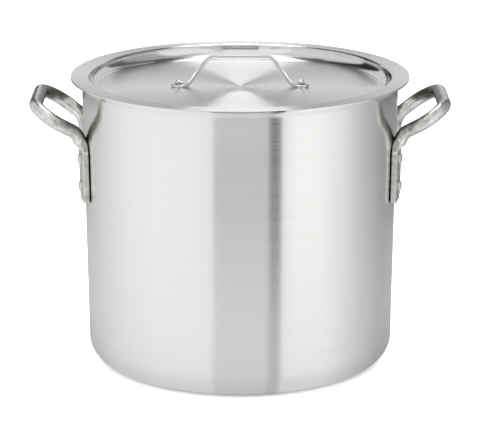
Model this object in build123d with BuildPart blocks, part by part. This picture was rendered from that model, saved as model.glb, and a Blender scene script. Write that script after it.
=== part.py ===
"""Commercial aluminium stock pot with a recessed lid, about 23 litres. Units are millimetres.

Frame: origin at the centre of the flat bottom, +Z up, the two side handles on -X and +X.

The pot is one deep drawn shell with a thickened lip. Each side handle is a round rod bent to a loop,
with both ends pressed flat and held to the wall by two solid rivets. The lid is one spun sheet: a flat
flange that rests on the lip, and a recess that drops into the mouth. A bent strap with round feet is
riveted across it. The lid lifts straight off; nothing else moves.
"""

import os
from math import asin, atan2, cos, degrees, radians, sin, tan

from build123d import *

# Pot shell
pot_height = 297.0  # floor to the top of the lip
rim_radius = 162.5  # outside of the wall, just under the lip
wall_taper = 4.3  # how much smaller that radius is at the floor
wall = 3.2
bottom = 4.0
corner_radius = 22.5  # outside, between wall and bottom
lip_flare = 1.5  # how far the lip stands out from the wall
lip_height = 7.0  # the flare starts this far below the top
lip_land = 3.0  # upright band at the top of the lip
lip_blend = 9.0
lip_round = 1.2

# Lid pan
lid_sheet = 2.1
lid_overhang = 11.5  # flange beyond the outside of the wall
lid_seat_gap = 0.2  # flange above the lip
recess_clearance = 1.9  # between the recess and the inside of the pot, all round
recess_depth = 13.2  # flange down to the lid floor
recess_round = 3.0  # top bend, on the upper side
recess_steep = 5.0  # lean of the recess wall from upright, in degrees
recess_sweep = 12.0  # the bend from that wall into its toe, on the upper side
recess_toe = 50.0  # lean of the toe from upright, in degrees
toe_height = 4.6  # lid floor to the point where the toe's line meets the wall's
toe_round = 1.2  # bottom bend, on the upper side
flange_edge = 0.35

# Lid handle: a bent strap with a round foot at each end
strap_width = 14.0
strap = 2.6
strap_rise = 31.0  # lid floor to the top of the strap
strap_bar = 66.0  # between the upper bends
strap_spread = 20.5  # each lower bend beyond the upper one
strap_foot = 9.5  # lower bend to the rivet
strap_bend = 8.0
foot_disc = 16.0

# Side handles: round rod with pressed-flat ends
rod = 14.2
pad_width = 26.0
pad = 6.0  # thickness of the pressed end
pad_angle = 14.0  # each end's place round the pot, from the X axis
pad_length = 57.5
pad_inner_corner = 12.0  # bottom corner towards the middle of the handle
pad_outer_corner = 4.0
press_ease = 0.6  # the pressed rod stays this far inside its flat end's faces
grip_drop = 22.8  # top of the lip down to the middle of the grip bar
grip_reach = 45.4  # outside of the wall at the rim to the middle of the grip bar
leg_rise = 31.2  # grip bar above the point where a leg's line meets its pressed end's line
knee_height = 11.0  # that point above the top of the pressed end
leg_bend = 24.0
loop_half_width = 66.5  # middle of the loop to the corner of its centreline
loop_corner = 24.0

# Rivets
rivet_shank = 6.4
rivet_head = 11.0
rivet_head_height = 3.0
rivet_head_edge = 1.2
rivet_tail = 12.5  # the flat head inside the pot
rivet_tail_height = 1.8
rivet_tail_round = 0.5
rivet_inset = 12.0  # top of the pressed end down to its upper rivet
rivet_pitch = 29.0
lid_rivet_shank = 4.0
lid_rivet_head = 7.0
lid_rivet_head_height = 4.4
lid_rivet_head_edge = 1.1
lid_rivet_tail = 8.5
lid_rivet_tail_height = 1.4
lid_rivet_tail_round = 0.4
hole_fit = 0.05  # radial clearance of a rivet in its hole
seat_fit = 0.05  # gap where a flat piece sits on the round wall

base_radius = rim_radius - wall_taper
wall_lean = atan2(rim_radius - base_radius, pot_height - lip_height)
mouth_radius = rim_radius - wall
flange_under = pot_height + lid_seat_gap
flange_top = flange_under + lid_sheet
lid_floor = flange_top - recess_depth
recess_radius = mouth_radius - recess_clearance - lid_sheet
flange_radius = rim_radius + lid_overhang
sweep_radius = recess_radius - (recess_depth - toe_height) * tan(radians(recess_steep))
floor_radius = sweep_radius - toe_height * tan(radians(recess_toe))
strap_legs = strap_bar + 2 * strap_spread
lid_rivet_pitch = strap_legs + 2 * strap_foot
loop_reach = rim_radius + grip_reach
loop_height = pot_height - grip_drop
leg_bend_height = loop_height - leg_rise
pad_top = leg_bend_height - knee_height
pad_bottom = pad_top - pad_length
rivet_upper = pad_top - rivet_inset
rivet_lower = rivet_upper - rivet_pitch
sides = {"left": -1, "right": 1}
ends = {"front": -1, "back": 1}
levels = {"lower": rivet_lower, "upper": rivet_upper}

os.makedirs("parts", exist_ok=True)


def save(part, label):
    """Labels a finished piece and writes it as its own STEP file."""
    part.label = label
    export_step(part, f"parts/{label}.step")


def wall_radius(height):
    """Outside radius of the straight wall at a height."""
    return base_radius + (rim_radius - base_radius) * height / (pot_height - lip_height)


def wall_plane(side, end, height):
    """Plane that touches the outside of the wall under a pressed end.

    Its x runs round the pot, its y up the wall and its z straight out. side is -1 for the left handle
    and 1 for the right; end is -1 for the front leg and 1 for the back.
    """
    turn = radians(pad_angle)
    outward = Vector(side * cos(turn), end * sin(turn), 0)
    normal = outward * cos(wall_lean) - Vector(0, 0, sin(wall_lean))
    place = outward * wall_radius(height) + Vector(0, 0, height)
    return Plane(origin=place, x_dir=Vector(0, 0, 1).cross(outward), z_dir=normal)


def rivet_planes(side):
    """The wall planes of one handle's four rivets."""
    return [wall_plane(side, end, height) for end in ends.values() for height in levels.values()]


# --- Pot shell: one turned profile, with the rivet holes drilled square to the wall.
with BuildPart() as pot_shell:
    with BuildSketch(Plane.XZ):
        with BuildLine():
            outside = FilletPolyline(
                (0, 0),
                (base_radius, 0),
                (rim_radius, pot_height - lip_height),
                (rim_radius + lip_flare, pot_height - lip_land),
                (rim_radius + lip_flare, pot_height),
                (mouth_radius, pot_height),
                (wall_radius(bottom) - wall, bottom),
                (0, bottom),
                radius=(corner_radius, lip_blend, 1, lip_round, lip_round, corner_radius - wall),
            )
            Line(outside @ 1, outside @ 0)
        make_face()
    revolve(axis=Axis.Z)
    for side in sides.values():
        with Locations(*rivet_planes(side)):
            Hole(rivet_shank / 2 + hole_fit, depth=2 * wall)
save(pot_shell.part, "pot_shell")

# --- Side handles. Half of the rod, from the middle of the grip bar down the back leg to its pressed
# end, is made once and mirrored.
def pad_plane(height):
    """The right-hand back wall plane moved out to the middle of the pressed end's thickness."""
    return wall_plane(sides["right"], ends["back"], height).offset(seat_fit + pad / 2)


with BuildLine() as half_route:
    FilletPolyline(
        (loop_reach, 0, loop_height),
        (loop_reach, loop_half_width, loop_height),
        pad_plane(leg_bend_height).origin,
        pad_plane(pad_bottom).origin,
        radius=(loop_corner, leg_bend),
    )
down_the_leg = half_route.edges().sort_by(Axis.Z, reverse=True)
grip = Wire(down_the_leg[:3])
knee = down_the_leg[3]
press_line = pad_plane(pad_top).x_dir
pressed_width = pad_width - 2 * press_ease
pressed = pad - 2 * press_ease

with BuildPart() as right_handle:
    with BuildSketch(Plane(origin=grip @ 0, z_dir=grip % 0)):
        Circle(rod / 2)
    sweep(path=grip)
    # Over the knee the round rod widens and flattens into the pressed end. Each station is a place
    # along the knee, from leg to pressed end, and how round the rod still is there.
    for place, roundness in ((0, 1), (0.5, 0.5), (0.8, 0.1), (1, 0)):
        with BuildSketch(Plane(origin=knee @ place, x_dir=press_line, z_dir=knee % place)):
            Ellipse(
                pressed_width / 2 + roundness * (rod - pressed_width) / 2,
                pressed / 2 + roundness * (rod - pressed) / 2,
            )
    loft()
    with BuildSketch(pad_plane(pad_top).offset(-pad / 2)) as pressed_end:
        with Locations((0, -pad_length / 2)):
            Rectangle(pad_width, pad_length)
        fillet(pressed_end.vertices().group_by(Axis.Y)[0].sort_by(Axis.X)[0], pad_inner_corner)
        fillet(pressed_end.vertices().group_by(Axis.Y)[0].sort_by(Axis.X)[-1], pad_outer_corner)
    extrude(amount=pad)
    mirror(about=Plane.XZ)
    with Locations(*rivet_planes(sides["right"])):
        Hole(rivet_shank / 2 + hole_fit, depth=2 * pad)
save(right_handle.part, "right_handle")

with BuildPart() as left_handle:
    mirror(right_handle.part, about=Plane.YZ)
save(left_handle.part, "left_handle")


# --- Rivets: a domed head outside, a shank through both pieces and a flat tail inside.
def make_rivet(seat, head, height, edge, shank, grip_length, tail, tail_height, tail_round):
    """One set rivet. seat is the plane under its head, with z pointing out of the work."""
    crown = height - edge
    crown_radius = (head**2 / 4 + crown**2) / (2 * crown)
    crown_angle = degrees(asin(head / 2 / crown_radius))
    with BuildPart() as rivet:
        with BuildSketch(Plane(origin=seat.origin, x_dir=seat.x_dir, z_dir=seat.x_dir.cross(seat.z_dir))):
            with BuildLine():
                dome = JernArc((0, height), (1, 0), crown_radius, -crown_angle)
                stem = FilletPolyline(
                    dome @ 1,
                    (head / 2, 0),
                    (shank / 2, 0),
                    (shank / 2, -grip_length),
                    (tail / 2, -grip_length),
                    (tail / 2, -grip_length - tail_height),
                    (0, -grip_length - tail_height),
                    radius=(0, 0, 0, tail_round, tail_round),
                )
                Line(stem @ 1, dome @ 0)
            make_face()
        revolve(axis=Axis(seat.origin, seat.z_dir))
    return rivet.part


wall_grip = pad + seat_fit + wall + rivet_tail**2 / (8 * (base_radius - wall)) + seat_fit
for side_name, side in sides.items():
    for end_name, end in ends.items():
        for level_name, height in levels.items():
            seat = wall_plane(side, end, height).offset(seat_fit + pad)
            rivet = make_rivet(
                seat, rivet_head, rivet_head_height, rivet_head_edge, rivet_shank,
                wall_grip, rivet_tail, rivet_tail_height, rivet_tail_round,
            )
            save(rivet, f"{side_name}_handle_{end_name}_{level_name}_rivet")

# --- Lid pan: one turned sheet, drilled for the strap's two rivets.
recess_line = [
    Vector(0, lid_floor),
    Vector(floor_radius, lid_floor),
    Vector(sweep_radius, lid_floor + toe_height),
    Vector(recess_radius, flange_top),
    Vector(flange_radius, flange_top),
]


def underside(corner):
    """Where an inner corner of the recess line comes on the sheet's lower side."""
    before, here, after = recess_line[corner - 1 : corner + 2]
    first = (here - before).normalized().cross(Vector(0, 0, 1))
    second = (after - here).normalized().cross(Vector(0, 0, 1))
    return here + (first + second) * (lid_sheet / (1 + first.dot(second)))


with BuildPart() as lid_pan:
    with BuildSketch(Plane.XZ):
        with BuildLine():
            sheet = FilletPolyline(
                *recess_line,
                (flange_radius, flange_under),
                underside(3),
                underside(2),
                underside(1),
                (0, lid_floor - lid_sheet),
                radius=(
                    toe_round, recess_sweep, recess_round, flange_edge,
                    flange_edge, recess_round - lid_sheet, recess_sweep + lid_sheet, toe_round + lid_sheet,
                ),
            )
            Line(sheet @ 1, sheet @ 0)
        make_face()
    revolve(axis=Axis.Z)
    with Locations((lid_rivet_pitch / 2, 0, lid_floor), (-lid_rivet_pitch / 2, 0, lid_floor)):
        Hole(lid_rivet_shank / 2 + hole_fit, depth=2 * lid_sheet)
save(lid_pan.part, "lid_pan")

# --- Lid handle: the strap's side view, extruded to its width, with a disc at each foot.
foot_level = lid_floor + strap / 2
bar_level = lid_floor + strap_rise - strap / 2
with BuildPart() as lid_handle:
    with BuildSketch(Plane.XZ):
        with BuildLine():
            FilletPolyline(
                (-lid_rivet_pitch / 2, foot_level),
                (-strap_legs / 2, foot_level),
                (-strap_bar / 2, bar_level),
                (strap_bar / 2, bar_level),
                (strap_legs / 2, foot_level),
                (lid_rivet_pitch / 2, foot_level),
                radius=strap_bend,
            )
            offset(amount=strap / 2)
        make_face()
    extrude(amount=strap_width / 2, both=True)
    with BuildSketch(Plane.XY.offset(lid_floor)):
        with Locations((lid_rivet_pitch / 2, 0), (-lid_rivet_pitch / 2, 0)):
            Circle(foot_disc / 2)
    extrude(amount=strap)
    with Locations((lid_rivet_pitch / 2, 0, lid_floor), (-lid_rivet_pitch / 2, 0, lid_floor)):
        Hole(lid_rivet_shank / 2 + hole_fit, depth=2 * strap)
save(lid_handle.part, "lid_handle")

for side_name, side in sides.items():
    seat = Plane(origin=(side * lid_rivet_pitch / 2, 0, lid_floor + strap))
    rivet = make_rivet(
        seat, lid_rivet_head, lid_rivet_head_height, lid_rivet_head_edge, lid_rivet_shank,
        strap + lid_sheet, lid_rivet_tail, lid_rivet_tail_height, lid_rivet_tail_round,
    )
    save(rivet, f"lid_handle_{side_name}_rivet")
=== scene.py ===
"""Aluminium stock pot, about 23 litres: brushed body, rod handles riveted on, and a lift-off lid."""

import math

import bmesh
import bpy
from mathutils import Matrix, Vector, noise


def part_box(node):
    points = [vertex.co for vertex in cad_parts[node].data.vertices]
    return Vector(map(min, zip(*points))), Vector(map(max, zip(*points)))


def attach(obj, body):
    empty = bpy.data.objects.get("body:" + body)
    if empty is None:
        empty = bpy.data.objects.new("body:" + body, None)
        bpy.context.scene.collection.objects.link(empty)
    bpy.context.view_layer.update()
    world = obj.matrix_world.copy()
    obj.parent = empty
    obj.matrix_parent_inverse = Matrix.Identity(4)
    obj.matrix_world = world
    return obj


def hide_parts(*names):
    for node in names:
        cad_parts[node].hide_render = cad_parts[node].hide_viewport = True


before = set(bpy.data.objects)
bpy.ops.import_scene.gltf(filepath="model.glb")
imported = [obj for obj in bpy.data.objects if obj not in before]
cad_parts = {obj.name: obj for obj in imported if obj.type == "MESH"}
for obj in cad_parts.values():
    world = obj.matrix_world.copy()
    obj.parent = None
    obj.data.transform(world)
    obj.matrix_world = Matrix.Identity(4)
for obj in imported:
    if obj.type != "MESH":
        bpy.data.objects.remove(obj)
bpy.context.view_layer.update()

# --- Pot shell ------------------------------------------------------------------------------------
# One aluminium blank, deep drawn to a tall cup that widens a little towards the mouth. The outside
# is brushed on a lathe, which leaves fine lines running round it, and the mouth has a thicker lip.

mm = 0.001
shell_low, shell_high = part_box("pot_shell")
pot_height = shell_high.z
lip_flare = 1.5 * mm
rim_radius = shell_high.x - lip_flare
base_radius = rim_radius - 4.3 * mm
wall = 3.2 * mm
floor_sheet = 4 * mm
floor_corner = 22.5 * mm
lip_height = 7 * mm
lip_land = 3 * mm
lip_round = 1.2 * mm
wall_lean = math.atan2(rim_radius - base_radius, pot_height - lip_height)


def wall_radius(height):
    """Outside radius of the pot's wall at a height."""
    return base_radius + (rim_radius - base_radius) * height / (pot_height - lip_height)


def rounded(corners, longest=4 * mm, turn_step=math.radians(6)):
    """Points along a line through (point, radius) corners, with long runs cut to at most longest."""
    chain = []
    for i, (place, radius) in enumerate(corners):
        here = Vector(place)
        if not radius:
            chain.append(here)
            continue
        before = (Vector(corners[i - 1][0]) - here).normalized()
        after = (Vector(corners[i + 1][0]) - here).normalized()
        half = before.angle(after) / 2
        start = here + before * radius / math.tan(half)
        centre = here + (before + after).normalized() * radius / math.sin(half)
        turn = math.pi - 2 * half
        count = math.ceil(turn / turn_step)
        axis = (-before).cross(after)
        chain += [
            centre + Matrix.Rotation(turn * k / count, 3, axis) @ (start - centre)
            for k in range(count + 1)
        ]
    points = [chain[0]]
    for a, b in zip(chain, chain[1:]):
        count = math.ceil((b - a).length / longest)
        points += [a.lerp(b, k / count) for k in range(1, count + 1)]
    return points


def mesh_object(name, mesh):
    """Turns a bmesh into a smooth-shaded object with its faces looking outwards."""
    bmesh.ops.remove_doubles(mesh, verts=mesh.verts, dist=1e-7)
    bmesh.ops.recalc_face_normals(mesh, faces=mesh.faces)
    for face in mesh.faces:
        face.smooth = True
    data = bpy.data.meshes.new(name)
    mesh.to_mesh(data)
    mesh.free()
    made = bpy.data.objects.new(name, data)
    bpy.context.scene.collection.objects.link(made)
    return made


def turned(name, profile, around=192, shape=lambda point: point):
    """A piece turned on a lathe: profile runs from axis to axis, as points with x the radius."""
    mesh = bmesh.new()
    rings = []
    for point in profile:
        count = 1 if point.x < 1e-6 else around
        ring = []
        for k in range(count):
            turn = Matrix.Rotation(2 * math.pi * k / around, 3, "Z")
            ring.append(mesh.verts.new(shape(turn @ point)))
        rings.append(ring)
    for low, high in zip(rings, rings[1:]):
        for k in range(around):
            after = k + 1
            corners = (low[k % len(low)], low[after % len(low)], high[after % len(high)], high[k % len(high)])
            mesh.faces.new(dict.fromkeys(corners))
    return mesh_object(name, mesh)


class Value:
    """A node's output, for writing sums with."""

    def __init__(self, finish, socket):
        self.finish = finish
        self.socket = socket

    def sum(self, operation, *inputs):
        return self.finish.node("ShaderNodeMath", {"operation": operation}, inputs)

    def __add__(self, other):
        return self.sum("ADD", self, other)

    def __sub__(self, other):
        return self.sum("SUBTRACT", self, other)

    def __rsub__(self, other):
        return self.sum("SUBTRACT", other, self)

    def __mul__(self, other):
        return self.sum("MULTIPLY", self, other)

    __radd__ = __add__
    __rmul__ = __mul__


class Finish:
    """A material being put together from nodes."""

    def __init__(self, name):
        self.material = bpy.data.materials.new(name)
        self.material.use_nodes = True
        self.tree = self.material.node_tree
        self.tree.nodes.clear()

    def node(self, kind, settings, inputs, output=0):
        """Adds a node. inputs go by name in a dict, or in order; a ramp's stops are (place, colour)."""
        made = self.tree.nodes.new(kind)
        for key, setting in settings.items():
            if key == "stops":
                ramp = made.color_ramp.elements
                while len(ramp) < len(setting):
                    ramp.new(0.5)
                for stop, (place, colour) in zip(ramp, setting):
                    stop.position = place
                    stop.color = colour
            else:
                setattr(made, key, setting)
        for key, value in inputs.items() if isinstance(inputs, dict) else enumerate(inputs):
            if isinstance(value, Value):
                self.tree.links.new(value.socket, made.inputs[key])
            else:
                made.inputs[key].default_value = value
        return Value(self, made.outputs[output]) if made.outputs else None

    def place(self, scale=(1, 1, 1)):
        """The surface point in metres, stretched by scale."""
        point = self.node("ShaderNodeTexCoord", {}, {}, "Object")
        return self.node("ShaderNodeVectorMath", {"operation": "MULTIPLY"}, (point, scale))

    def mottle(self, vector, scale=1.0, detail=3.0, roughness=0.5):
        """Soft noise from 0 to 1."""
        inputs = {"Vector": vector, "Scale": scale, "Detail": detail, "Roughness": roughness}
        return self.node("ShaderNodeTexNoise", {}, inputs)

    def blend(self, share, first, second):
        """Goes from colour first to colour second as share goes from 0 to 1."""
        inputs = {0: share, 6: first, 7: second}
        return self.node("ShaderNodeMix", {"data_type": "RGBA"}, inputs, 2)

    def between(self, value, low, high):
        """0 where value is at or under low, 1 where it is at or over high, and smooth between."""
        settings = {"interpolation_type": "SMOOTHSTEP"}
        return self.node("ShaderNodeMapRange", settings, {"Value": value, "From Min": low, "From Max": high})

    def metal(self, colour, roughness, height, bump, grain=0.0):
        """Bare metal as the material's surface. grain is how much more the brush lines spread light
        across themselves than along; bump is the height of the relief in metres."""
        relief = self.node("ShaderNodeBump", {}, {"Strength": 1.0, "Distance": bump, "Height": height})
        inputs = {
            "Base Color": colour, "Metallic": 1.0, "Roughness": roughness, "Normal": relief,
            "Anisotropic": grain, "Anisotropic Rotation": 0.25,
        }
        surface = self.node("ShaderNodeBsdfPrincipled", {}, inputs)
        self.node("ShaderNodeOutputMaterial", {}, {"Surface": surface})
        return self.material


def lathe_lines(finish, across, along):
    """Noise drawn out into lines that run round the pot's axis, across lines to the metre."""
    around = finish.place((along, along, 0))
    level = finish.place((1, 1, 0))
    ring = finish.node("ShaderNodeVectorMath", {"operation": "LENGTH"}, (level,), "Value")
    up = finish.node("ShaderNodeSeparateXYZ", {}, (finish.place(),), "Z")
    step = finish.node("ShaderNodeCombineXYZ", {}, {"Z": (ring + up) * across})
    place = finish.node("ShaderNodeVectorMath", {"operation": "ADD"}, (around, step))
    return finish.mottle(place, detail=4.0)


def brushed_aluminium(name, light, dark, roughness, grain, bump, polish=None):
    """Lathe-brushed aluminium: fine lines over broader, fainter bands. polish is 1 where the surface
    is burnished instead, which leaves it half as rough, with the tool's darker streaks."""
    finish = Finish(name)
    fine = lathe_lines(finish, 1500, 7)
    broad = lathe_lines(finish, 240, 2.5)
    lines = fine * 0.7 + broad * 0.3
    colour = finish.blend(finish.between(lines, 0.3, 0.7), (*dark, 1), (*light, 1))
    dull = roughness + (lines - 0.5) * 0.16
    if polish:
        burnt = polish(finish)
        streaks = finish.between(lathe_lines(finish, 520, 1.2), 0.5, 0.62) * burnt
        colour = finish.blend(streaks * 0.55, colour, (0.45, 0.44, 0.42, 1))
        dull = dull - dull * burnt * 0.5
    return finish.metal(colour, dull, lines, bump, grain)


shell_profile = rounded([
    ((0, 0, 0), 0),
    ((base_radius, 0, 0), floor_corner),
    ((rim_radius, 0, pot_height - lip_height), 9 * mm),
    ((rim_radius + lip_flare, 0, pot_height - lip_land), 1 * mm),
    ((rim_radius + lip_flare, 0, pot_height), lip_round),
    ((rim_radius - wall, 0, pot_height), lip_round),
    ((wall_radius(floor_sheet) - wall, 0, floor_sheet), floor_corner - wall),
    ((0, 0, floor_sheet), 0),
], longest=6 * mm)
pot_shell = turned("pot_body", shell_profile)
pot_shell.data.materials.append(
    brushed_aluminium("brushed_wall", (0.93, 0.925, 0.91), (0.885, 0.875, 0.855), 0.235, 1.0, 0.015 * mm)
)
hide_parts("pot_shell")
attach(pot_shell, "pot")

# --- Side handles ---------------------------------------------------------------------------------
# Each is a round aluminium rod bent to a loop. Both ends are pressed flat under a stamp, which
# leaves a shoulder where the round rod begins, and the whole handle is tumbled to a dull sheen.

rod = 14.2 * mm
pad_width = 26 * mm
pad = 6 * mm
pad_length = 57.5 * mm
pad_outer_corner = 4 * mm
pad_inner_corner = 12 * mm
pad_angle = math.radians(14)
leg_bend = 24 * mm
loop_corner = 24 * mm
loop_half_width = 66.5 * mm
leg_rise = 31.2 * mm
knee_height = 11 * mm
wall_gap = 0.05 * mm
handle_low, handle_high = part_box("right_handle")
loop_height = handle_high.z - rod / 2
loop_reach = handle_high.x - rod / 2
pad_top = loop_height - leg_rise - knee_height
pad_bottom = pad_top - pad_length


def wall_place(side, end, height, lift):
    """A point lift outside the wall under a pressed end, and the way out from the wall there."""
    outward = Vector((side * math.cos(pad_angle), end * math.sin(pad_angle), 0))
    normal = outward * math.cos(wall_lean) - Vector((0, 0, math.sin(wall_lean)))
    return outward * wall_radius(height) + Vector((0, 0, height)) + normal * lift, normal


def ease(value, start, end):
    """0 before start and 1 after end, with a smooth rise between."""
    share = min(1, max(0, (value - start) / (end - start)))
    return share * share * (3 - 2 * share)


def swept(name, stations, around=40):
    """A bar through stations of (centre, across, out, half width, half thickness, squareness)."""
    mesh = bmesh.new()
    rings = []
    for centre, across, out, width, thickness, square in stations:
        ring = []
        for k in range(around):
            turn = 2 * math.pi * (k + 0.5) / around
            x = math.copysign(abs(math.cos(turn)) ** (2 / square), math.cos(turn))
            y = math.copysign(abs(math.sin(turn)) ** (2 / square), math.sin(turn))
            ring.append(mesh.verts.new(centre + across * width * x + out * thickness * y))
        rings.append(ring)
    for low, high in zip(rings, rings[1:]):
        for k in range(around):
            mesh.faces.new((low[k], low[k - 1], high[k - 1], high[k]))
    mesh.faces.new(rings[0])
    mesh.faces.new(rings[-1])
    return mesh_object(name, mesh)


def corner_cut(walk, radius):
    """How far a rounded corner draws the edge in, at a distance from the bar's end."""
    short = max(0, radius - walk)
    return radius - math.sqrt(radius**2 - short**2)


def handle_stations(side):
    """The rod's sections from the front pressed end, round the loop, to the back one."""
    feet, knees = [], []
    for end in (-1, 1):
        feet.append(wall_place(side, end, pad_bottom, pad / 2 + wall_gap)[0])
        knees.append(wall_place(side, end, loop_height - leg_rise, pad / 2 + wall_gap)[0])
    corners = [Vector((side * loop_reach, end * loop_half_width, loop_height)) for end in (-1, 1)]
    line = rounded([
        (feet[0], 0), (knees[0], leg_bend), (corners[0], loop_corner),
        (corners[1], loop_corner), (knees[1], leg_bend), (feet[1], 0),
    ], longest=1.5 * mm, turn_step=math.radians(4))
    first, last = line[0], line[-1]
    for step in (1, 0.6, 0.3, 0.1):
        line.insert(1, first.lerp(line[1], step) if step < 1 else line[1].copy())
        line.insert(-1, last.lerp(line[-2], step) if step < 1 else line[-2].copy())
    line = [a for a, b in zip(line, line[1:] + [None]) if b is None or (a - b).length > 1e-6]
    walked = [0]
    for a, b in zip(line, line[1:]):
        walked.append(walked[-1] + (b - a).length)
    out = wall_place(side, -1, pad_bottom, 0)[1]
    stations = []
    for i, point in enumerate(line):
        along = (line[min(i + 1, len(line) - 1)] - line[max(i - 1, 0)]).normalized()
        out = (out - along * out.dot(along)).normalized()
        walk = min(walked[i], walked[-1] - walked[i])
        # The flat end stays one thickness up to the press line, then swells to the full rod.
        swell = ease(walk, 55 * mm, 65 * mm)
        narrow = ease(walk, 51 * mm, 74 * mm)
        outer_cut = corner_cut(walk, pad_outer_corner)
        inner_cut = corner_cut(walk, pad_inner_corner)
        width = (pad_width - rod) / 2 * (1 - narrow) + rod / 2 - (outer_cut + inner_cut) / 2
        across = along.cross(out)
        sideways = across * side * (outer_cut - inner_cut) / 2
        thickness = (pad + (rod - pad) * swell) / 2 - 0.5 * mm * (1 - ease(walk, 0, 0.8 * mm))
        shoulder = 1.6 * mm * swell * (1 - ease(walk, 62 * mm, 80 * mm))
        dent = 0.1 * mm * (noise.noise(point * 60) - 1) * ease(walk, 55 * mm, 66 * mm)
        square = 2 + 9 * (1 - ease(walk, 52 * mm, 66 * mm))
        middle = point + out * shoulder + sideways
        stations.append((middle, across, out, width + dent, thickness + dent, square))
    return stations


def tumbled_aluminium(name, light, dark, scuff, roughness, tint=lambda finish, colour: colour):
    """Tumbled bare aluminium: a fine dull grain, soft clouding and a few darker scuffs. tint changes
    the colour further by where it is."""
    finish = Finish(name)
    grain = finish.mottle(finish.place(), 1400, 2.0, 0.6)
    cloud = finish.mottle(finish.place(), 240, 3.0, 0.55)
    patch = finish.mottle(finish.place((0.5, 1, 1)), 80, 4.0, 0.6)
    colour = finish.blend(finish.between(cloud, 0.3, 0.7), (*dark, 1), (*light, 1))
    colour = finish.blend(finish.between(patch, 0.57, 0.74) * 0.7, colour, (*scuff, 1))
    dull = roughness + (cloud - 0.5) * 0.14 + finish.between(patch, 0.5, 0.7) * 0.08
    return finish.metal(tint(finish, colour), dull, grain * 0.2 + cloud, 0.025 * mm)


def pot_side_painted_shade(finish, colour):
    """Painted shade, blotched, on the side that faces the pot: the colour goes dark where the surface turns
    towards it.
    """
    normal = finish.node("ShaderNodeTexCoord", {}, {}, "Normal")
    outward = finish.node("ShaderNodeVectorMath", {"operation": "NORMALIZE"}, (finish.place((1, 1, 0)),))
    facing = finish.node("ShaderNodeVectorMath", {"operation": "DOT_PRODUCT"}, (normal, outward), "Value")
    blotch = finish.mottle(finish.place(), 170, 4.0, 0.6)
    share = finish.between((blotch - 0.5) * 0.9 - facing, -0.05, 0.6)
    return finish.blend(share * 0.93, colour, (0.13, 0.12, 0.1, 1))


# The rod's colour gets painted shade on the side that faces the pot.
rod_metal = tumbled_aluminium(
    "tumbled_rod", (0.88, 0.87, 0.85), (0.72, 0.71, 0.685), (0.34, 0.32, 0.29), 0.3, pot_side_painted_shade
)
for side_name, side in (("left", -1), ("right", 1)):
    handle = swept(f"{side_name}_rod_handle", handle_stations(side))
    handle.data.materials.append(rod_metal)
    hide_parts(f"{side_name}_handle")
    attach(handle, "pot")

# --- Handle rivets --------------------------------------------------------------------------------
# Solid aluminium rivets, set cold: a low domed head outside and a flat one pressed against the
# inside of the wall. The tool leaves each head a little out of round.

rivet_head = 11 * mm
rivet_head_height = 3 * mm
rivet_shank = 6.4 * mm
rivet_tail = 12.5 * mm
rivet_tail_height = 1.8 * mm
rivet_tail_gap = rivet_tail**2 / (8 * (base_radius - wall)) + wall_gap
rivet_crown = 2.2 * mm


def rivet(name, seat, out, head, head_height, crown, shank, grip, tail, tail_height):
    """A set rivet whose head sits at seat and points along out. crown rounds the head's edge."""
    profile = rounded([
        ((0, 0, head_height), 0),
        ((head / 2 * 0.62, 0, head_height * 0.97), crown * 0.6),
        ((head / 2, 0, head_height * 0.55), crown * 0.45),
        ((head / 2, 0, 0), 0),
        ((shank / 2, 0, 0), 0),
        ((shank / 2, 0, -grip), 0),
        ((tail / 2, 0, -grip), 0.3 * mm),
        ((tail / 2, 0, -grip - tail_height), 0.5 * mm),
        ((0, 0, -grip - tail_height), 0),
    ], longest=0.8 * mm, turn_step=math.radians(10))
    turn = out.to_track_quat("Z", "Y").to_matrix()

    def hammered(point):
        uneven = 0.12 * mm * noise.noise(point * 260 + seat * 900)
        above = max(0, point.z) / head_height
        flat = Vector((point.x, point.y, 0))
        return seat + turn @ (point + (flat * 9 - Vector((0, 0, 1)) * 0.6) * uneven * above)

    return turned(name, profile, 48, hammered)


rivet_metal = tumbled_aluminium("rivet_head", (0.82, 0.81, 0.79), (0.7, 0.69, 0.67), (0.5, 0.48, 0.45), 0.34)
for side_name, side in (("left", -1), ("right", 1)):
    for end_name, end in (("front", -1), ("back", 1)):
        for level in ("lower", "upper"):
            node = f"{side_name}_handle_{end_name}_{level}_rivet"
            low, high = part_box(node)
            seat, out = wall_place(side, end, (low.z + high.z) / 2, pad + wall_gap)
            made = rivet(
                f"{side_name}_{end_name}_{level}_rivet", seat, out,
                rivet_head, rivet_head_height, rivet_crown,
                rivet_shank, pad + wall + rivet_tail_gap, rivet_tail, rivet_tail_height,
            )
            made.data.materials.append(rivet_metal)
            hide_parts(node)
            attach(made, "pot")

# --- Lid pan --------------------------------------------------------------------------------------
# A disc of aluminium spun over a former: a flat flange that rests on the pot's lip, a polished step
# down into the mouth, and a flat floor with the concentric lines that the spinner's pad leaves.

pan_low, pan_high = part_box("lid_pan")
lid_sheet = 2.1 * mm
flange_top = pan_high.z
flange_radius = pan_high.x
lid_floor = pan_low.z + lid_sheet
recess_radius = rim_radius - wall - 1.9 * mm - lid_sheet
recess_round = 3 * mm
recess_steep = math.radians(5)
recess_sweep = 12 * mm
recess_toe = math.radians(50)
toe_height = 4.6 * mm
toe_round = 1.2 * mm
flange_edge = 0.35 * mm
sweep_radius = recess_radius - (flange_top - lid_floor - toe_height) * math.tan(recess_steep)
floor_radius = sweep_radius - toe_height * math.tan(recess_toe)


upper_side = [
    Vector((0, 0, lid_floor)),
    Vector((floor_radius, 0, lid_floor)),
    Vector((sweep_radius, 0, lid_floor + toe_height)),
    Vector((recess_radius, 0, flange_top)),
    Vector((flange_radius, 0, flange_top)),
]


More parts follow.
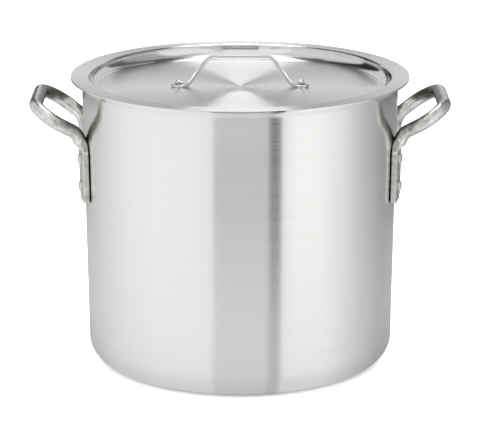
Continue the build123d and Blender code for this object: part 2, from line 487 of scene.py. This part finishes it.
def under(corner):
    """Where an inner corner of the upper side comes on the lower side, one sheet away."""
    before, here, after = upper_side[corner - 1:corner + 2]
    to_here, to_after = (here - before).normalized(), (after - here).normalized()
    first = Vector((to_here.z, 0, -to_here.x))
    second = Vector((to_after.z, 0, -to_after.x))
    return here + (first + second) * lid_sheet / (1 + first.dot(second))


lid_profile = rounded([
    (upper_side[0], 0),
    (upper_side[1], toe_round),
    (upper_side[2], recess_sweep),
    (upper_side[3], recess_round),
    (upper_side[4], flange_edge),
    ((flange_radius, 0, flange_top - lid_sheet), flange_edge),
    (under(3), recess_round - lid_sheet),
    (under(2), recess_sweep + lid_sheet),
    (under(1), toe_round + lid_sheet),
    ((0, 0, lid_floor - lid_sheet), 0),
], longest=4 * mm)


def burnished(finish):
    """1 on the step between flange and floor, and on the flange's edge."""
    out = finish.node("ShaderNodeVectorMath", {"operation": "LENGTH"}, (finish.place((1, 1, 0)),), "Value")
    step = finish.between(out, floor_radius - 1 * mm, floor_radius)
    flat = finish.between(out, recess_radius + 2 * mm, recess_radius + 3 * mm)
    edge = finish.between(out, flange_radius - 0.35 * mm, flange_radius - 0.2 * mm)
    return step - flat + edge


lid_pan = turned("lid_dish", lid_profile)
lid_pan.data.materials.append(
    brushed_aluminium("spun_lid", (0.9, 0.9, 0.9), (0.87, 0.87, 0.87), 0.24, 1.0, 0.006 * mm, burnished)
)
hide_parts("lid_pan")
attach(lid_pan, "lid")

# --- Lid handle -----------------------------------------------------------------------------------
# A flat aluminium strap, its edges rounded by tumbling, bent up from two round feet to a level grip
# and half polished, with a painted highlight along its sides.

strap = 2.6 * mm
strap_width = 14 * mm
strap_bar = 66 * mm
strap_legs = 107 * mm
strap_bend = 8 * mm
foot_disc = 16 * mm
strap_low, strap_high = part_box("lid_handle")
foot_reach = strap_high.x - foot_disc / 2
foot_level = lid_floor + strap / 2
bar_level = strap_high.z - strap / 2


def strap_stations():
    """Flat sections from one rivet, over the grip, to the other."""
    line = rounded([
        ((-foot_reach, 0, foot_level), 0),
        ((-strap_legs / 2, 0, foot_level), strap_bend),
        ((-strap_bar / 2, 0, bar_level), strap_bend),
        ((strap_bar / 2, 0, bar_level), strap_bend),
        ((strap_legs / 2, 0, foot_level), strap_bend),
        ((foot_reach, 0, foot_level), 0),
    ], longest=0.7 * mm, turn_step=math.radians(6))
    stations = []
    for i, point in enumerate(line):
        along = (line[min(i + 1, len(line) - 1)] - line[max(i - 1, 0)]).normalized()
        across = Vector((0, 1, 0))
        # Inside a foot the strap is a hair thinner, so that their faces don't coincide.
        from_rivet = foot_reach - abs(point.x)
        thickness = strap / 2 - 0.04 * mm * (1 - ease(from_rivet, 6 * mm, 8 * mm))
        stations.append((point, across, along.cross(across) * -1, strap_width / 2, thickness, 7))
    return stations


def foot(side):
    """The round end of the strap, its edge rounded over."""
    profile = rounded([
        ((0, 0, strap), 0),
        ((foot_disc / 2, 0, strap), 0.8 * mm),
        ((foot_disc / 2, 0, 0), 0.8 * mm),
        ((0, 0, 0), 0),
    ], longest=2 * mm, turn_step=math.radians(15))
    seat = Vector((side * foot_reach, 0, lid_floor))
    return turned("strap_foot", profile, 64, lambda point: point + seat)


def merged(name, pieces):
    """One object out of several."""
    mesh = bmesh.new()
    for piece in pieces:
        mesh.from_mesh(piece.data)
        bpy.data.objects.remove(piece)
    return mesh_object(name, mesh)


def painted_side_highlight(finish, colour):
    """A painted highlight: brighter along the strap's sides than on its flats."""
    normal = finish.node("ShaderNodeTexCoord", {}, {}, "Normal")
    side = finish.node("ShaderNodeSeparateXYZ", {}, (normal,), "Y")
    return finish.blend(finish.between(side * side, 0.3, 0.8), colour, (0.95, 0.95, 0.94, 1))


strap_handle = merged("lid_strap", [swept("strap_bar", strap_stations(), 48), foot(-1), foot(1)])
# The strap's colour gets a painted highlight along its sides.
strap_handle.data.materials.append(tumbled_aluminium(
    "strap_metal", (0.72, 0.72, 0.71), (0.64, 0.64, 0.63), (0.54, 0.53, 0.51), 0.2, painted_side_highlight
))
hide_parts("lid_handle")
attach(strap_handle, "lid")

# --- Lid rivets -----------------------------------------------------------------------------------
# Two small aluminium rivets with tall round heads, left bright, hold the strap to the lid's floor.

lid_rivet_head = 7 * mm
lid_rivet_head_height = 4.4 * mm
lid_rivet_crown = 4 * mm
lid_rivet_shank = 4 * mm
lid_rivet_tail = 8.5 * mm
lid_rivet_tail_height = 1.4 * mm

def painted_rivet_shade(finish, colour):
    """Darker low on the head's side, where the dome turns away from the top: painted shade that outlines the
    head.
    """
    normal = finish.node("ShaderNodeTexCoord", {}, {}, "Normal")
    up = finish.node("ShaderNodeSeparateXYZ", {}, (normal,), "Z")
    return finish.blend(finish.between(up, 0.0, 0.3), (0.5, 0.49, 0.47, 1), colour)


# The lid rivets' colour gets painted shade round the sides of their heads.
lid_rivet_metal = tumbled_aluminium(
    "lid_rivet_head", (0.92, 0.92, 0.91), (0.88, 0.88, 0.87), (0.8, 0.79, 0.78), 0.22, painted_rivet_shade
)
for side_name, side in (("left", -1), ("right", 1)):
    made = rivet(
        f"lid_{side_name}_rivet", Vector((side * foot_reach, 0, lid_floor + strap)), Vector((0, 0, 1)),
        lid_rivet_head, lid_rivet_head_height, lid_rivet_crown,
        lid_rivet_shank, strap + lid_sheet, lid_rivet_tail, lid_rivet_tail_height,
    )
    made.data.materials.append(lid_rivet_metal)
    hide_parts(f"lid_handle_{side_name}_rivet")
    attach(made, "lid")

# --- Studio ---------------------------------------------------------------------------------------
# A pale floor under even light. What the metal mirrors is a ring of white cloth round the pot, with
# darker gaps at the front, and a long bright panel overhead; the floor doesn't pick up their light.

tent_radius = 0.62
tent_height = 1.15
# How bright the surroundings are at each azimuth (0 is the front, 90 the right, 180 the back), low
# down and, above the height where the cloth's lower edge is, high up.
low_tones = [
    (-180, 0.5), (-160, 0.42), (-135, 0.52), (-120, 0.62), (-102, 0.76), (-88, 0.88), (-76, 0.95),
    (-55, 1.0), (-30, 0.93), (-17, 0.86), (-16.2, 0.67), (16.6, 0.67), (19.6, 0.05), (25.2, 0.05),
    (26.6, 0.88), (36, 1.08), (50, 1.06), (70, 0.86), (90, 0.56), (112, 0.36), (135, 0.30),
    (155, 0.36), (180, 0.5),
]
high_tones = [
    (-180, 0.68), (-152, 0.68), (-150, 0.02), (-125, 0.02), (-122, 0.64), (-46, 0.72), (-44, 0.9),
    (-17, 0.85), (-16.2, 0.6), (16, 0.6), (17.5, 0.6), (26, 0.75), (30, 0.85), (72, 0.85),
    (78, 0.42), (112, 0.34), (118, 0.12), (136, 0.12), (140, 0.62), (180, 0.68),
]
strip_tone = 5.2
strip_half_width = 0.2
strip_start = 0.13
strip_full = 0.2
front_panel = 0.86
dark_roof = 0.1
left_roof = 0.66
right_roof = 0.4
floor_tones = [
    (-180, 0.55), (-120, 0.7), (-102, 0.8), (-60, 0.9), (-20, 0.9), (-16, 0.76), (16, 0.76), (20, 0.64),
    (24, 0.64), (28, 0.9), (60, 0.92), (90, 0.68), (120, 0.5), (180, 0.55),
]


def from_table(table, place):
    """Reads a table of (place, value) pairs, in straight lines between them."""
    for (a, low), (b, high) in zip(table, table[1:]):
        if a <= place <= b:
            return low + (high - low) * (place - a) / (b - a)
    return table[-1][1]


def roof_tone(point):
    """Brightness of the cover: over its back part a bright strip on a dark ground, over the rest a
    broad grey panel with a plain ground each side of it."""
    side = left_roof if point.x < 0 else right_roof
    front = front_panel + (side - front_panel) * ease(abs(point.x), 0.32, 0.38)
    off_strip = ease(abs(point.x), strip_half_width, strip_half_width + 0.02)
    back = strip_tone + (dark_roof - strip_tone) * off_strip
    return front + (back - front) * ease(point.y, strip_start, strip_full)


def wall_tone(azimuth, height):
    """Brightness of the ring round the pot."""
    low = from_table(low_tones, azimuth)
    high = from_table(high_tones, azimuth)
    tone = low + (high - low) * ease(height, 0.28, 0.32)
    front = ease(-abs(azimuth), -16.8, -16)
    # The front gap has a dark slot below the height of the lid, a lit board over it, then another
    # dark slot.
    tone += (0.03 - tone) * front * ease(height, 0.09, 0.11) * (1 - ease(height, 0.21, 0.22))
    tone += (2.2 - tone) * front * ease(height, 0.22, 0.23) * (1 - ease(height, 0.29, 0.31))
    tone += (0.2 - tone) * front * ease(height, 0.29, 0.31)
    back = ease(abs(azimuth), 138, 150)
    upper = tone + (dark_roof - tone) * back * ease(height, 0.62, 0.8)
    upper += (front_panel - upper) * front * ease(height, 0.58, 0.64)
    return upper


def table_tone(point):
    """Brightness of the table as the metal mirrors it, with the pot's own shade close in."""
    azimuth = math.degrees(math.atan2(point.x, -point.y))
    out = Vector((point.x, point.y)).length
    # Close in, the wall shows a table point nearer its own azimuth than it shows one by the ring.
    azimuth *= 1.742 / (2 - 0.16 / max(out, 0.16))
    shade = 0.4 + 0.4 * ease(out, 0.137, 0.147) + 0.2 * ease(out, 0.16, 0.28)
    return from_table(floor_tones, max(-180, min(180, azimuth))) * shade


def glowing(name, mesh, tone):
    """A part of the surroundings that only polished metal mirrors, as bright as tone says."""
    layer = mesh.verts.layers.float.new("tone")
    for vertex in mesh.verts:
        vertex[layer] = tone(vertex.co)
    made = mesh_object(name, mesh)
    finish = Finish(name)
    stored = finish.node("ShaderNodeAttribute", {"attribute_name": "tone"}, {}, "Fac")
    glow = finish.node("ShaderNodeEmission", {}, {"Color": stored, "Strength": 1.0})
    finish.node("ShaderNodeOutputMaterial", {}, {"Surface": glow})
    made.data.materials.append(finish.material)
    made.visible_camera = False
    made.visible_diffuse = False
    made.visible_shadow = False


def round_mesh(profile):
    """A surface swept round the pot's axis, one strip to each degree of azimuth."""
    mesh = bmesh.new()
    columns = []
    for azimuth in range(-180, 180):
        turn = math.radians(azimuth)
        out = Vector((math.sin(turn), -math.cos(turn), 0))
        columns.append([mesh.verts.new(out * radius + Vector((0, 0, height))) for radius, height in profile])
    for left, right in zip(columns, columns[1:] + columns[:1]):
        for k in range(len(profile) - 1):
            mesh.faces.new((left[k], right[k], right[k + 1], left[k + 1]))
    return mesh


def cover_mesh():
    """A level sheet of small squares."""
    mesh = bmesh.new()
    place = Matrix.Translation((0, 0, tent_height))
    bmesh.ops.create_grid(mesh, x_segments=96, y_segments=96, size=tent_radius + 0.05, matrix=place)
    return mesh


ring_profile = [(tent_radius, tent_height * k / 92) for k in range(93)]
table_profile = [(0.13 + 0.55 * (k / 60) ** 2, -0.0005) for k in range(61)]
glowing("ring", round_mesh(ring_profile), lambda point: wall_tone(
    math.degrees(math.atan2(point.x, -point.y)), point.z
))
glowing("cover", cover_mesh(), roof_tone)
glowing("table_glow", round_mesh(table_profile), table_tone)

floor_mesh = bmesh.new()
bmesh.ops.create_grid(floor_mesh, x_segments=8, y_segments=8, size=12)
ground = mesh_object("ground", floor_mesh)
ground_finish = Finish("pale_ground")
ground_shader = ground_finish.node(
    "ShaderNodeBsdfPrincipled", {},
    {"Base Color": (0.93, 0.93, 0.93, 1), "Roughness": 0.9, "Specular IOR Level": 0.0},
)
ground_finish.node("ShaderNodeOutputMaterial", {}, {"Surface": ground_shader})
ground.data.materials.append(ground_finish.material)
ground.visible_glossy = False

world = bpy.data.worlds.new("studio")
world.use_nodes = True
world.node_tree.nodes["Background"].inputs["Color"].default_value = (1, 1, 1, 1)
world.node_tree.nodes["Background"].inputs["Strength"].default_value = 2.6
bpy.context.scene.world = world
world.cycles_visibility.glossy = False

camera = bpy.data.cameras.new("camera")
camera.lens = 181.0
camera.sensor_width = 36.0
camera.clip_end = 100
viewer = bpy.data.objects.new("camera", camera)
viewer.location = (-0.00006, -2.4294, 0.8177)
viewer.rotation_euler = (math.radians(90 - 15.48), 0, 0)
bpy.context.scene.collection.objects.link(viewer)
bpy.context.scene.camera = viewer
bpy.context.scene.view_settings.view_transform = "Standard"
